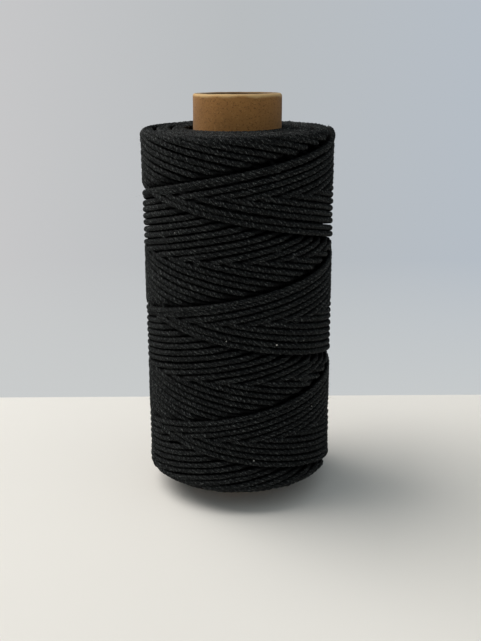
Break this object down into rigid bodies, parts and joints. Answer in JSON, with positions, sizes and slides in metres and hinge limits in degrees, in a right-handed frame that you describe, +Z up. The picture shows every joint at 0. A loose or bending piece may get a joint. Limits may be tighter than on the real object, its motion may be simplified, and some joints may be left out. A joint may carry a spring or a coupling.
{
  "type": "waxed thread spool",
  "caption": "Waxed leatherworking thread, cross-wound in a straight-sided package on a plain paper tube whose ends stand clear of the winding.",
  "frame": {"origin": "centre of the tube's lower end, which is also the centre of the bottom of the whole object's box", "axes": "+Z up along the tube's axis; -Y towards the side with no tube seam at its upper end"},
  "size_m": [0.0296, 0.0296, 0.063],
  "materials": {
    "kraft_paper": "matt brown kraft paper with fine dark and light flecks",
    "grey_board": "matt recycled core board, fibrous at its cut ends",
    "waxed_thread": "black three-ply thread with a thin coat of wax and a low sheen"
  },
  "bodies": {
    "root": {"tube_inner_liner": "kraft_paper", "tube_inner_core_ply": "grey_board", "tube_outer_core_ply": "grey_board", "tube_outer_wrap": "kraft_paper", "first_thread_cover": "waxed_thread", "second_thread_cover": "waxed_thread", "third_thread_cover": "waxed_thread", "outer_thread_cover": "waxed_thread", "thread_start_tail": "waxed_thread", "thread_cut_end": "waxed_thread"}
  },
  "joints": []
}
